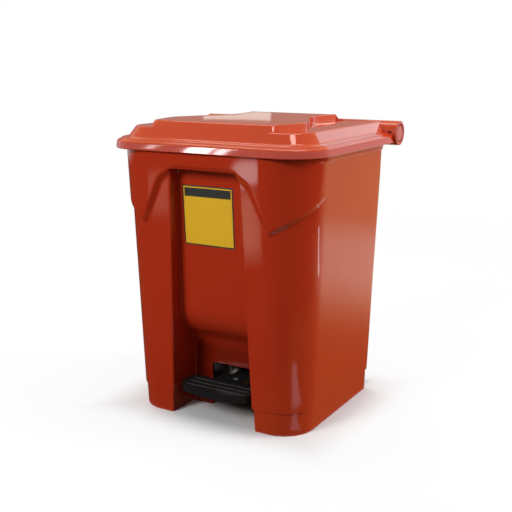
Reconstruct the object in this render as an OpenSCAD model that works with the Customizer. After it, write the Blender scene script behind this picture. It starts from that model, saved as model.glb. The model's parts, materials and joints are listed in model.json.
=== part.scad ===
/* [Body] */
// Width of the wall line at floor level
base_w = 355; // [345:1:360]
// How far the lid rim stands in front of the wall line at floor level
front_overhang = 34.3; // [32:0.1:37]
// Height of the body rim
body_h = 504; // [496:0.5:512]
// Lean of the side walls, in degrees
side_draft = 2.3; // [2:0.1:2.5]
// Lean of the front wall, in degrees
front_draft = 2.4; // [2:0.1:2.5]
// Corner radius at the front, at floor level
front_r = 61; // [54:1:64]
// Growth of that radius for each millimetre of height
corner_taper = 0.047; // [0.03:0.001:0.05]
// Corner radius at the rear
rear_r = 24; // [18:1:30]
// Wall thickness
wall = 4; // [3:0.1:5]
// Height of the tub floor
floor_z = 96; // [92:1:120]
// Height of the inset band round the foot
band_h = 42.4; // [30:0.2:50]
// Inset of the band
band_inset = 2.5; // [1.5:0.1:3.5]
// Height of the lip under the lid
lip_h = 22; // [14:1:30]
// How far the lip stands out
lip_t = 2.6; // [1.5:0.1:3.5]

/* [Foot recess and hood] */
// Width of the recess at floor level
recess_w = 171; // [160:1:180]
// Draft of the recess sides, in degrees
recess_draft = 2.2; // [1.6:0.1:2.6]
// Depth from the leg front to the foot of the recess, at floor level
recess_d = 71.5; // [66:0.5:76]
// Depth of the recess under the arch
recess_top_d = 23; // [19:0.5:27]
// Height of the arch
arch_z = 463; // [452:1:470]
// Width of the hood edge over the arch
arch_band = 5; // [3:0.5:7]
// Height where the back panel starts to turn in
knee_z = 205; // [195:1:220]
// Lean of the back panel, in degrees
panel_lean = 3.6; // [3:0.1:4.2]
// Radius of the turn
scoop_r = 76; // [66:1:84]
// Width of the pedal slot
slot_w = 88; // [80:1:96]
// Height of the pedal slot
slot_h = 86; // [82:1:88]
// How far the hood stands out at the body rim
hood_t = 7.8; // [5:0.1:8]
// Height where the hood surface would leave the wall
hood_z = 190; // [170:1:220]
// Fall of the inner hood edge, run over depth
hood_slope = 2; // [1.4:0.1:2.6]
// Fall of the outer hood edge, run over depth
outer_slope = 1.6; // [0.8:0.1:2]
// Corner of the arch from the middle
arch_x = 66; // [60:1:69]
// Shoulder from the middle
shoulder_x = 91; // [84:1:96]
// Height of the shoulder
shoulder_z = 447; // [440:1:452]
// Point of the hood from the middle
point_x = 131.5; // [124:0.5:138]
// Height of the point
point_z = 363; // [358:1:370]
// Climb of the outer hood edge for each degree round the corner
outer_climb = 0.82; // [0.7:0.02:0.9]

/* [Lid] */
// Width over the rim
lid_w = 422; // [418:1:428]
// Depth from the rim to the back of the hinge barrel
lid_d = 392; // [386:1:398]
// Height of the rim
rim_h = 15; // [12:0.5:18]
// How far the rim hangs below the body rim
rim_drop = 11.5; // [9:0.5:13]
// Corner radius of the rim at the front
rim_r = 72; // [66:1:78]
// Width of the ledge inside the rim
ledge_w = 21; // [18:0.5:24]
// Rise of the ledge to the foot of the slope
ledge_rise = 5.5; // [4:0.5:7]
// Height of the first level over the ledge
level_1 = 18; // [14:0.5:22]
// Height of the second level over the first
level_2 = 12.5; // [9:0.5:15]
// Run of the slope for each millimetre of height
slope_run = 0.68; // [0.5:0.02:0.8]
// Width of the second level at its front edge
panel_front_w = 247; // [230:1:248]
// Width of the second level where it is widest
panel_wide_w = 282; // [260:1:290]
// Width of the second level at its waist
panel_waist_w = 158; // [150:1:180]
// Angle by which each side of the second level flares behind its waist
neck_flare = 8; // [0:0.5:9]
// Length over which the second level widens behind its front
panel_flare_l = 70; // [60:1:76]
// Length from its front to where it narrows again
panel_side_l = 94; // [88:1:100]
// Length from its front to where it is narrow
panel_neck_l = 214; // [200:1:226]

/* [Hinge] */
// Diameter of the hinge barrel
barrel_d = 46; // [44:0.2:48]
// How far its axis lies over the rim top
hinge_rise = 1.9; // [1:0.1:3]
// Diameter of the hinge pin
pin_d = 34; // [32:0.5:35]
// Wall of the hinge pin
pin_wall = 3.5; // [2.5:0.1:4.5]
// Length of each lid knuckle
knuckle_l = 108; // [96:1:114]
// How far the knuckle stands out past the rim
knuckle_out = 4; // [2:0.5:6]
// Width of each body lug
lug_w = 30; // [24:1:34]
// Opening angle of the lid
lid_open = 75; // [65:1:80]

/* [Pedal] */
// Swing of the pedal, in degrees
pedal_swing = 16; // [14:0.5:16]
// Width of the tread
tread_w = 146; // [130:1:156]
// Depth of the tread
tread_d = 61; // [54:1:66]
// Height of the tread at rest
tread_z = 61.5; // [60:0.5:66]
// How far the tread stands out in front of the wall line at floor level
tread_out = 7.5; // [4:0.5:10]
// Height of the skirt of the tread
skirt_h = 15; // [12:0.5:16]
// Number of ribs on the tread
ribs = 5; // [3:1:6]
// Diameter of the axle
axle_d = 10; // [8:0.5:11]
// Height of the axle
axle_z = 45; // [42:0.5:47]
// Distance between the lever cheeks, outside
lever_w = 34; // [32:0.5:38]
// Plate thickness of the lever and brackets
plate_t = 3; // [2.5:0.1:3.5]

/* [Push rod] */
// Diameter of the rod
rod_d = 8; // [7:0.5:9]
// Distance from the rod to the hinge axis
lift_arm = 31; // [29:0.5:32]
// Diameter of the pins at its ends
rod_pin_d = 7; // [6:0.5:7.5]
// Width of the rear groove
groove_w = 64; // [58:1:72]
// Depth of the rear groove
groove_d = 28; // [27:0.5:32]

/* [Hidden] */
$fn = 48;

shell_red = [0.60, 0.16, 0.08];
tread_black = [0.05, 0.05, 0.055];
steel = [0.66, 0.67, 0.69];
nylon = [0.86, 0.85, 0.80];

// Clearances: a running fit, a fixed fit, and room between moving mouldings
run_fit = 0.06;
fixed_fit = 0.03;
room = 1.5;
seat = 0.3;
// Overlap that keeps a cut clean
bit = 1;

// Places that follow from the lid depth and the hinge
rim_front_y = -lid_d / 2;
hinge_y = lid_d / 2 - barrel_d / 2;
front_y = rim_front_y + front_overhang;
rim_z = body_h - rim_drop;
lid_under_z = body_h + seat;
rim_top_z = rim_z + rim_h;
hinge_z = rim_top_z + hinge_rise;
foot_z = rim_top_z + ledge_rise;
top_1_z = foot_z + level_1;
top_2_z = top_1_z + level_2;
barrel_r = barrel_d / 2;
trough_r = barrel_r + room;
rear_y = hinge_y - trough_r;
knuckle_end = lid_w / 2 + knuckle_out;
knuckle_in = knuckle_end - knuckle_l;
lug_out = knuckle_in - room;
lug_in = lug_out - lug_w;

// The linkage: rod travel from the lid swing, lever length from the rod travel
rod_y = hinge_y - lift_arm;
rod_travel = 2 * lift_arm * tan(lid_open / 2);
rod_top_z = hinge_z - rod_travel / 2;
lever_l = rod_travel / (2 * tan(pedal_swing / 2));
axle_y = rod_y - lever_l;
rod_low_z = axle_z - rod_travel / 2;

// Room that the straight-line coupling needs in the lifter slot
slack_angle = acos(sqrt((lid_open / 2) * PI / 180 / tan(lid_open / 2)));
slack = lift_arm * (tan(lid_open / 2) * slack_angle / (lid_open / 2) - tan(slack_angle));
lifter_slot = rod_pin_d + 2 * (slack + seat);

// Fasteners
screw_d = 4;
screw_head_d = 8.4;
screw_head_h = 2.8;
screw_l = 8;
screw_head_taper = 1.6;
drive_w = 1;
drive_l = 4.4;
drive_d = 1.4;
clip_t = 1.6;
// Depth by which joined solids sink into each other
sink = 0.5;

function arc(x, y, r, from, to, steps = 8) =
  [for (i = [0:steps]) let (a = from + (to - from) * i / steps) [x + r * cos(a), y + r * sin(a)]];

// A rectangle with its own radius on the front and the rear corners, counter-clockwise from above
function round_rect(half_w, y_front, y_rear, r_front, r_rear) = concat(
  arc(half_w - r_front, y_front + r_front, r_front, -90, 0),
  arc(half_w - r_rear, y_rear - r_rear, r_rear, 0, 90),
  arc(r_rear - half_w, y_rear - r_rear, r_rear, 90, 180),
  arc(r_front - half_w, y_front + r_front, r_front, 180, 270));

function at_z(outline, z) = [for (p = outline) [p.x, p.y, z]];

// Where the line through p along u meets the line through q along v
function cross_point(p, u, q, v) =
  p + u * (((q.x - p.x) * v.y - (q.y - p.y) * v.x) / (u.x * v.y - u.y * v.x));

// A skin over rings that have the same number of points
module loft(rings) {
  count = len(rings[0]);
  last = len(rings) - 1;
  sides = [for (i = [0:last - 1]) for (j = [0:count - 1]) let (k = (j + 1) % count)
    [i * count + j, (i + 1) * count + j, (i + 1) * count + k, i * count + k]];
  floor_face = [[for (j = [0:count - 1]) j]];
  top_face = [[for (j = [count - 1:-1:0]) last * count + j]];
  polyhedron([for (ring = rings) each ring], concat(sides, floor_face, top_face), convexity = 8);
}

// A profile of [y, z] points, drawn across from one x to another
module across(x_from, x_to) {
  translate([x_from, 0, 0]) rotate([90, 0, 90]) linear_extrude(x_to - x_from) children();
}

// A profile of [x, z] points, drawn back from one y to another
module along(y_from, y_to) {
  translate([0, y_to, 0]) rotate([90, 0, 0]) linear_extrude(y_to - y_from) children();
}

// A round bar along x
module bar(x_from, x_to, d) {
  translate([x_from, 0, 0]) rotate([0, 90, 0]) cylinder(h = x_to - x_from, d = d);
}

module both_sides() {
  children();
  mirror([1, 0, 0]) children();
}

// A pan-head screw that points up, its head under the origin
module screw() {
  difference() {
    union() {
      translate([0, 0, -screw_head_h])
        cylinder(h = screw_head_h, d1 = screw_head_d - screw_head_taper, d2 = screw_head_d);
      translate([0, 0, -sink]) cylinder(h = screw_l + sink, d = screw_d);
    }
    for (turn = [0, 90]) rotate(turn) translate([-drive_l / 2, -drive_w / 2, -screw_head_h - bit])
      cube([drive_l, drive_w, drive_d + bit]);
  }
}

// Body wall at a height, moved out by grow
function wall_half(z) = base_w / 2 + z * tan(side_draft);
function leg_y(z) = front_y - z * tan(front_draft);
function corner_r(z) = front_r + z * corner_taper;
function wall_ring(z, grow = 0) = at_z(round_rect(wall_half(z) + grow, leg_y(z) - grow, rear_y + grow,
  corner_r(z) + grow, rear_r + grow), z);

module wall_block(from, to, grow = 0) {
  loft([wall_ring(from, grow), wall_ring(to, grow)]);
}

// Side profile of the foot recess, moved into the tub by grow
foot_y = front_y + recess_d;
panel_top_y = leg_y(arch_z) + recess_top_d;
knee_y = panel_top_y + (arch_z - knee_z) * tan(panel_lean);
scoop_c = [knee_y + scoop_r * cos(panel_lean), knee_z + scoop_r * sin(panel_lean)];

function recess_side(grow) = let (
    turn = arc(scoop_c.x, scoop_c.y, scoop_r - grow, 180 + panel_lean, 225, 10),
    end = turn[len(turn) - 1]) concat(
  [[2 * rim_front_y, -bit], [2 * rim_front_y, arch_z + grow],
    [panel_top_y + grow / cos(panel_lean), arch_z + grow]],
  turn,
  [[foot_y + grow, end.y - (foot_y + grow - end.x)], [foot_y + grow, -bit]]);

module recess(grow = 0) {
  half_low = recess_w / 2 + grow;
  half_top = recess_w / 2 - (arch_z + 2 * wall) * tan(recess_draft) + grow;
  intersection() {
    across(-recess_w, recess_w) polygon(recess_side(grow));
    along(2 * rim_front_y, rear_y) polygon([
      [half_low, -bit], [half_top, arch_z + 2 * wall], [-half_top, arch_z + 2 * wall], [-half_low, -bit]]);
  }
}

// The band round the foot is inset in the recess too
module recess_foot() {
  intersection() {
    recess(band_inset);
    translate([-recess_w, 2 * rim_front_y, -bit])
      cube([2 * recess_w, foot_y - 2 * rim_front_y, band_h + bit]);
  }
}

// The hood edge falls back to the legs in a slope: its lines at a depth in front of the legs
edge_depth = 5;
edge_sink = 2;
hood_reach = 12;
hood_margin = 40;
hood_low = hood_z - hood_margin;
hood_far = (lid_w + hood_margin) / 2;
arch_end = [arch_x, arch_z];
shoulder = [shoulder_x, shoulder_z];
hood_point = [point_x, point_z];
arch_run = (shoulder - arch_end) / norm(shoulder - arch_end);
side_run = (hood_point - shoulder) / norm(hood_point - shoulder);
point_r = corner_r(point_z);
corner_axis = [wall_half(point_z) - point_r, leg_y(point_z) + point_r];
point_turn = asin((point_x - corner_axis.x) / point_r);
outer_turns = [15, 40, 65];

function fall_line(p, run, fall) = p + [run.y, -run.x] * fall;

// Leg face between the recess and the side edge of the hood
function inner_leg(depth) = let (fall = (edge_depth - depth) * hood_slope,
    p = fall_line(arch_end, arch_run, fall), q = fall_line(shoulder, side_run, fall)) [
  [0, hood_low], cross_point(q, side_run, [0, hood_low], [1, 0]), cross_point(p, arch_run, q, side_run),
  cross_point(p, arch_run, [0, arch_z + arch_band - fall], [1, 0]), [0, arch_z + arch_band - fall]];

// Face under the outer edge, which climbs round the corner: its line seen from one turn, at a depth
function outer_leg(turn, depth) = let (
    middle = point_z + (turn - point_turn) * outer_climb + depth * outer_slope,
    climb = hood_far * outer_climb * 180 / (PI * point_r)) [
  [-hood_far, middle - 3 * hood_far], [hood_far, middle - 3 * hood_far], [hood_far, middle + climb],
  [-hood_far, middle - climb]];

function round_corner(outline, depth) = [for (p = outline) [p.x, -point_r - depth, p.y]];

function on_leg(outline, depth) = [for (p = outline) [p.x, leg_y(p.y) - depth, p.y]];

function hood_ring(z) = let (rise = hood_t * max(0, z - hood_z) / (body_h - hood_z))
  at_z(round_rect(wall_half(z), leg_y(z) - rise, front_y + 2 * front_r, corner_r(z), front_r / 4), z);

module hood() {
  difference() {
    loft([hood_ring(hood_z), hood_ring(body_h)]);
    both_sides() {
      loft([on_leg(inner_leg(-edge_sink), -3 * front_r), on_leg(inner_leg(-edge_sink), -edge_sink),
        on_leg(inner_leg(hood_reach), hood_reach)]);
      for (turn = outer_turns) translate(corner_axis) rotate(turn)
        loft([for (depth = [-front_r, hood_reach]) round_corner(outer_leg(turn, depth), depth)]);
    }
  }
}

// Hinge lug of the body with the gusset that carries it
lug_drop = 56;
lug_turn = 20;

module lug() {
  gusset_z = rim_z - lug_drop;
  reach = barrel_r * [cos(lug_turn), sin(lug_turn)];
  union() {
    translate([0, hinge_y, hinge_z]) bar(lug_in, lug_out, barrel_d);
    across(lug_in, lug_out) polygon([[rear_y - wall, gusset_z], [rear_y, gusset_z],
      [hinge_y + reach.x, hinge_z - reach.y], [hinge_y, hinge_z], [hinge_y - reach.x, hinge_z - reach.y],
      [rear_y - wall, hinge_z - barrel_r]]);
  }
}

// Screw places: brackets under the floor, guides behind the groove, lifter under the lid
bracket_gap = 17;
bracket_x = lever_w / 2 + bracket_gap;
bracket_flange = 22;
bracket_half_l = 20;
bracket_screw_x = bracket_x + bracket_flange / 2 + plate_t / 2;
bracket_screw_y = 12;
boss_h = 9;
boss_d = 13;
flange_top_z = floor_z - wall - boss_h;
guide_ear = 16;
guide_h = 20;
guide_t = 4;
guide_screw_x = groove_w / 2 + guide_ear / 2;
guide_rise = 40;
guide_drop = 75;
guide_zs = [floor_z + guide_rise, rim_z - guide_drop];

module at_bracket_screws(z) {
  both_sides() for (y = [-1, 1]) translate([bracket_screw_x, axle_y + y * bracket_screw_y, z]) children();
}

module body_shell() {
  color(shell_red) difference() {
    union() {
      difference() {
        union() {
          wall_block(0, band_h + bit, -band_inset);
          wall_block(band_h, body_h);
          wall_block(body_h - lip_h, body_h, lip_t);
          hood();
        }
        // The tub inside, round the recess and the groove
        difference() {
          wall_block(floor_z, body_h + bit, -wall);
          recess(wall);
          translate([-groove_w / 2 - wall, rear_y - groove_d - wall, 0])
            cube([groove_w + 2 * wall, groove_d * 2, body_h + 2 * bit]);
        }
        // The space under the floor
        difference() {
          wall_block(-bit, floor_z - wall, -wall - band_inset);
          recess(wall);
        }
        recess();
        recess_foot();
        translate([-slot_w / 2, foot_y - bit, -bit]) cube([slot_w, wall + 2 * bit, slot_h + bit]);
        translate([0, hinge_y, hinge_z]) bar(-lid_w, lid_w, 2 * trough_r);
        translate([-groove_w / 2, rear_y - groove_d, -bit]) cube([groove_w, 2 * groove_d, body_h + 2 * bit]);
      }
      both_sides() lug();
      at_bracket_screws(flange_top_z) cylinder(h = boss_h + bit, d = boss_d);
    }
    both_sides() translate([0, hinge_y, hinge_z]) bar(lug_in - bit, lug_out + bit, pin_d + 2 * run_fit);
    at_bracket_screws(flange_top_z - bit) cylinder(h = pilot_l + bit, d = screw_d + 2 * fixed_fit);
    for (z = guide_zs) both_sides() translate([guide_screw_x, rear_y + bit, z]) rotate([90, 0, 0])
      cylinder(h = wall + 2 * bit, d = screw_d + 2 * fixed_fit);
  }
}

// One side of the axle support: an upright plate with a flange turned out under the floor
module axle_bracket() {
  color(steel) difference() {
    union() {
      across(bracket_x, bracket_x + plate_t) polygon([
        [axle_y - bracket_half_l, flange_top_z], [axle_y - axle_d, axle_z - axle_d],
        [axle_y + axle_d, axle_z - axle_d], [axle_y + bracket_half_l, flange_top_z]]);
      translate([bracket_x, axle_y - bracket_half_l, flange_top_z - plate_t])
        cube([bracket_flange + plate_t, 2 * bracket_half_l, plate_t]);
    }
    translate([0, axle_y, axle_z]) bar(bracket_x - bit, bracket_x + plate_t + bit, axle_d + 2 * fixed_fit);
    for (y = [-1, 1]) translate([bracket_screw_x, axle_y + y * bracket_screw_y, flange_top_z - 2 * plate_t])
      cylinder(h = 3 * plate_t, d = screw_d + 2 * fixed_fit);
  }
}

module axle_bracket_left() {
  mirror([1, 0, 0]) axle_bracket();
}

module axle_bracket_right() {
  axle_bracket();
}

module axle_bracket_screws() {
  color(steel) at_bracket_screws(flange_top_z - plate_t) screw();
}

axle_over = 6;
axle_half_l = bracket_x + plate_t + axle_over;

module pedal_axle() {
  color(steel) translate([0, axle_y, axle_z]) bar(-axle_half_l, axle_half_l, axle_d);
}

// Push-on caps on the axle ends
module axle_clips() {
  color(steel) both_sides() translate([0, axle_y, axle_z]) difference() {
    union() {
      bar(bracket_x + plate_t, bracket_x + plate_t + clip_t, axle_d * 2);
      bar(bracket_x + plate_t, axle_half_l + clip_t, axle_d + 2 * clip_t);
    }
    bar(bracket_x, axle_half_l, axle_d + 2 * fixed_fit);
  }
}

// A guide block in the groove, held by ears on the rear wall
module rod_guide(z) {
  color(tread_black) difference() {
    union() {
      translate([-groove_w / 2 + seat, rod_y - rod_d, z - guide_h / 2])
        cube([groove_w - 2 * seat, rear_y - rod_y + rod_d + bit, guide_h]);
      translate([-groove_w / 2 - guide_ear, rear_y, z - guide_h / 2])
        cube([groove_w + 2 * guide_ear, guide_t, guide_h]);
    }
    translate([0, rod_y, z - guide_h]) cylinder(h = 2 * guide_h, d = rod_d + 2 * run_fit);
    both_sides() translate([guide_screw_x, rear_y + 2 * guide_t, z]) rotate([90, 0, 0])
      cylinder(h = 3 * guide_t, d = screw_d + 2 * fixed_fit);
  }
}

module rod_guide_upper() {
  rod_guide(guide_zs[1]);
}

module rod_guide_lower() {
  rod_guide(guide_zs[0]);
}

module rod_guide_screws() {
  color(steel) for (z = guide_zs) both_sides() translate([guide_screw_x, rear_y + guide_t, z])
    rotate([90, 0, 0]) screw();
}

// Lid skin at a height, moved in from the rim
function lid_ring(z, inset, y_rear, r_rear) = at_z(round_rect(lid_w / 2 - inset, rim_front_y + inset, y_rear,
  rim_r - corner_shrink * inset, r_rear), z);

foot_inset = ledge_w;
top_1_inset = foot_inset + level_1 * slope_run;
lid_rear_y = hinge_y - barrel_r / 2;
cavity_rear_y = rear_y - wall;
edge_r = 4;
rim_tuck = 1.5;
back_r = 3;
cavity_r = 14;
corner_shrink = 0.7;
bead_in = 8;
bead_w = 4.5;
bead_h = 1;

function ledge_z(inset) = ledge_rise * (inset - edge_r) / (foot_inset - edge_r);

// The rim: its face, its rounded top edge, and a low bead on the ledge
function rim_rings() = concat(
  [lid_ring(rim_z, rim_tuck, lid_rear_y, back_r)],
  [for (a = [0:30:90])
    lid_ring(rim_top_z - edge_r + edge_r * sin(a), edge_r - edge_r * cos(a), lid_rear_y, back_r)],
  [for (p = [[0, 0], [1, 1], [bead_w, 1], [bead_w + 1, 0]])
    lid_ring(rim_top_z + ledge_z(bead_in + p.x) + p.y * bead_h, bead_in + p.x, lid_rear_y, back_r)],
  [lid_ring(foot_z, foot_inset, lid_rear_y, back_r)]);

// The slope and the first level run back into the hinge barrel
function slope_rings() = [
  lid_ring(rim_top_z - edge_r, foot_inset, hinge_y, back_r), lid_ring(foot_z, foot_inset, hinge_y, back_r),
  lid_ring(top_1_z, top_1_inset, hinge_y, back_r)];

// Second level: a broad front that runs on from the slope, and a neck behind its waist
panel_lean_run = 0.3;
panel_rear_y = rear_y + wall;

function panel_front_y(step) = rim_front_y + top_1_inset + (level_2 - step) * slope_run;

function panel_front(step) = let (front = panel_front_y(step), out = step * panel_lean_run) [
  [panel_front_w / 2 + out, front], [panel_wide_w / 2 + out, front + panel_flare_l],
  [panel_wide_w / 2 + out, front + panel_side_l], [panel_waist_w / 2 + out, front + panel_neck_l]];

function panel_neck(step, rear) = let (waist = panel_front_y(step) + panel_neck_l)
  [for (y = [waist - panel_side_l, rear])
    [panel_waist_w / 2 + step * panel_lean_run + (y - waist) * tan(neck_flare), y]];

// Both halves of an outline; a cavity stands in from the sides and the front
function panel_ring(right, z, inset) = let (
    n = len(right) - 1, half = [for (i = [0:n]) right[i] + [-inset, i == 0 ? 2 * inset : 0]])
  at_z(concat(half, [for (i = [n:-1:0]) [-half[i].x, half[i].y]]), z);

module second_level(low, top, rear, inset = 0) {
  loft([for (z = [low, top]) panel_ring(panel_front(top_2_z - z), z, inset)]);
  loft([for (z = [low, top]) panel_ring(panel_neck(top_2_z - z, rear), z, inset)]);
}

module lid_outside() {
  loft(rim_rings());
  loft(slope_rings());
  second_level(top_1_z - bit, top_2_z, panel_rear_y);
}

module lid_inside() {
  loft([lid_ring(rim_z - bit, wall + bit, lid_rear_y - wall, back_r),
    lid_ring(lid_under_z, wall, lid_rear_y - wall, back_r)]);
  loft([lid_ring(rim_z, foot_inset + wall, cavity_rear_y, cavity_r),
    lid_ring(foot_z, foot_inset + wall, cavity_rear_y, cavity_r),
    lid_ring(top_1_z - wall, top_1_inset + wall, cavity_rear_y, cavity_r)]);
  second_level(top_1_z - wall - bit, top_2_z - wall, cavity_rear_y, wall);
}

lifter_reach = 44;
lifter_y = rod_y - lifter_reach;
lifter_half_l = 16;
lifter_screw_x = 22;
lifter_screw_y = 9;
lifter_edge = 9;
lid_boss_h = 7;
lifter_top_z = top_2_z - wall - lid_boss_h;
pilot_l = screw_l - plate_t + sink;

drain_in = 12;
drain_l = 5;
drain_r = 1.6;
drain_turn = -8;

function drain_line() = concat(arc(drain_l / 2, 0, drain_r, -90, 90), arc(-drain_l / 2, 0, drain_r, 90, 270));

module at_lifter_screws(z) {
  both_sides() for (y = [-1, 1]) translate([lifter_screw_x, lifter_y + y * lifter_screw_y, z]) children();
}

module lid_shell() {
  color(shell_red) difference() {
    union() {
      difference() {
        lid_outside();
        lid_inside();
        // Room for the body lugs and the linkage between the knuckles
        translate([0, hinge_y, hinge_z]) bar(-knuckle_in, knuckle_in, 2 * trough_r);
        translate([-knuckle_in, hinge_y - trough_r, rim_z - bit])
          cube([2 * knuckle_in, 2 * trough_r, barrel_d]);
      }
      both_sides() translate([0, hinge_y, hinge_z]) bar(knuckle_in, knuckle_end, barrel_d);
      at_lifter_screws(lifter_top_z) cylinder(h = lid_boss_h + bit, d = boss_d);
    }
    at_lifter_screws(lifter_top_z - bit) cylinder(h = pilot_l + bit, d = screw_d + 2 * fixed_fit);
    // Drain slot through the front of each knuckle, down to the pin
    both_sides() translate([knuckle_end - drain_in, hinge_y, hinge_z]) rotate([drain_turn, 0, 0])
      along(-barrel_d, -pin_d / 2) polygon(drain_line());
    both_sides() translate([0, hinge_y, hinge_z])
      bar(knuckle_in - bit, knuckle_end + bit, pin_d + 2 * fixed_fit);
  }
}

// A moulded pin, hollow from its inner end, with a groove turned round its outer face
pin_sink = 0.5;
pin_groove = 2.4;

module hinge_pin() {
  face = knuckle_end - pin_sink;
  color(shell_red) translate([0, hinge_y, hinge_z]) difference() {
    bar(lug_in, face, pin_d);
    bar(lug_in - bit, face - pin_groove - pin_wall, pin_d - 2 * pin_wall);
    difference() {
      bar(face - pin_groove, knuckle_end, pin_d + bit);
      bar(face - pin_groove - bit, knuckle_end + bit, pin_d - 2 * pin_groove);
    }
  }
}

module hinge_pin_left() {
  mirror([1, 0, 0]) hinge_pin();
}

module hinge_pin_right() {
  hinge_pin();
}

// Slotted cheeks that straddle the rod head, on a plate under the second level of the lid
eye_w = 12;
cheek_x = eye_w / 2 + seat;
slot_angle = 180 + lid_open / 2;
slot_near = lift_arm - seat;
slot_far = lift_arm / cos(lid_open / 2) + seat;
slot_rim = 4.5;
lifter_lead = 2;
cheek_half = lifter_slot / 2 + slot_rim;
slot_run = [-cos(lid_open / 2), -sin(lid_open / 2)];
slot_start = [hinge_y, hinge_z] + slot_near * slot_run;
slot_end = [hinge_y, hinge_z] + slot_far * slot_run;

function stadium(r) = concat(
  arc(slot_end.x, slot_end.y, r, slot_angle - 90, slot_angle + 90, 12),
  arc(slot_start.x, slot_start.y, r, slot_angle + 90, slot_angle + 270, 12));

module lifter_cheek() {
  difference() {
    union() {
      polygon(stadium(cheek_half));
      polygon([
        [lifter_y - lifter_half_l, lifter_top_z], [lifter_y + lifter_half_l, lifter_top_z],
        [cavity_rear_y - 2 * room, lid_under_z - room], slot_start + [lifter_lead, cheek_half - room],
        slot_end - [cheek_half - room, 0], [rear_y - groove_d + 2 * room, body_h + 2 * room]]);
    }
    polygon(stadium(lifter_slot / 2));
  }
}

module lid_lifter() {
  color(steel) difference() {
    union() {
      both_sides() across(cheek_x, cheek_x + plate_t) lifter_cheek();
      translate([-lifter_screw_x - lifter_edge, lifter_y - lifter_half_l, lifter_top_z - plate_t])
        cube([2 * (lifter_screw_x + lifter_edge), 2 * lifter_half_l, plate_t]);
    }
    at_lifter_screws(lifter_top_z - 2 * plate_t) cylinder(h = 3 * plate_t, d = screw_d + 2 * fixed_fit);
  }
}

module lid_lifter_screws() {
  color(steel) at_lifter_screws(lifter_top_z - plate_t) screw();
}

// Tread outline: a shallow bow in front, round corners, and the neck behind
tread_front_y = front_y - tread_out;
tread_rear_y = tread_front_y + tread_d;
tread_bow = 14;
bow_r = (pow(tread_w / 2, 2) + tread_bow * tread_bow) / (2 * tread_bow);
neck_w = 56;
neck_l = 34;
neck_root = 6;
tread_t = 4;
tread_skirt_t = 3;
tread_corner = 13;
rib_margin = 11;
rib_h = 2;
rib_pitch = (tread_d - 2 * rib_margin) / ribs;
rib_share = 0.45;
rib_gap = (1 - rib_share) * rib_pitch;

module tread_plan(inset = 0) {
  offset(r = tread_corner - inset) offset(delta = -tread_corner) intersection() {
    translate([-tread_w / 2, tread_front_y]) square([tread_w, tread_d]);
    translate([0, tread_front_y + bow_r]) circle(r = bow_r, $fn = 128);
  }
}

module pedal_tread() {
  color(tread_black) difference() {
    union() {
      difference() {
        translate([0, 0, tread_z - skirt_h]) linear_extrude(skirt_h) tread_plan();
        translate([0, 0, tread_z - skirt_h - bit])
          linear_extrude(skirt_h - tread_t + bit) tread_plan(tread_skirt_t);
        // Grooves leave the ribs standing
        for (i = [0:ribs - 1])
          translate([rib_margin - tread_w / 2, tread_front_y + rib_margin + i * rib_pitch, tread_z - rib_h])
            cube([tread_w - 2 * rib_margin, rib_gap, rib_h + bit]);
        // The lever enters through the rear skirt
        translate([-neck_w / 2, tread_rear_y - tread_skirt_t - bit, tread_z - skirt_h - bit])
          cube([neck_w, tread_skirt_t + 2 * bit, skirt_h - tread_t + bit]);
      }
      translate([-neck_w / 2, tread_rear_y - neck_root, tread_z - tread_t])
        cube([neck_w, neck_l + neck_root, tread_t]);
    }
    for (x = [-1, 1]) translate([x * rivet_x, rivet_y, tread_z - 2 * tread_t])
      cylinder(h = 3 * tread_t, d = rivet_d + 2 * fixed_fit);
  }
}

rivet_x = 8.5;
rivet_in = 17;
rivet_y = tread_rear_y + rivet_in;
rivet_d = 5;
rivet_head_d = 10;
rivet_head_h = 1.6;
rivet_tail_h = 1.5;
rivet_dome_r = (pow(rivet_head_d / 2, 2) + rivet_head_h * rivet_head_h) / (2 * rivet_head_h);

module tread_rivets() {
  color(steel) for (x = [-1, 1]) translate([x * rivet_x, rivet_y, tread_z]) {
    translate([0, 0, -tread_t - plate_t - rivet_tail_h]) cylinder(h = rivet_tail_h, d = rivet_head_d - bit);
    translate([0, 0, -tread_t - plate_t - sink]) cylinder(h = tread_t + plate_t + 2 * sink, d = rivet_d);
    rotate_extrude() intersection() {
      translate([0, rivet_head_h - rivet_dome_r]) circle(r = rivet_dome_r);
      square([rivet_head_d / 2, rivet_head_h]);
    }
  }
}

bush_wall = 2;
bush_over = 2;
bush_flange = 3;
bush_d = axle_d + 2 * bush_wall;
plate_z = tread_z - tread_t;
pin_eye = 7;
lever_eye_r = rod_pin_d / 2 + pin_eye;
lever_tilt = atan((axle_z - rod_low_z) / lever_l);
lever_lap = 30;
lever_edge = 3;
cheek_h = 9;
cheek_front = 26;
cheek_rise = 4;
cheek_rear = 16;
plate_gap = 4;
stay_y = 30;
stay_l = 16;
stay_drop = 8;

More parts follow.
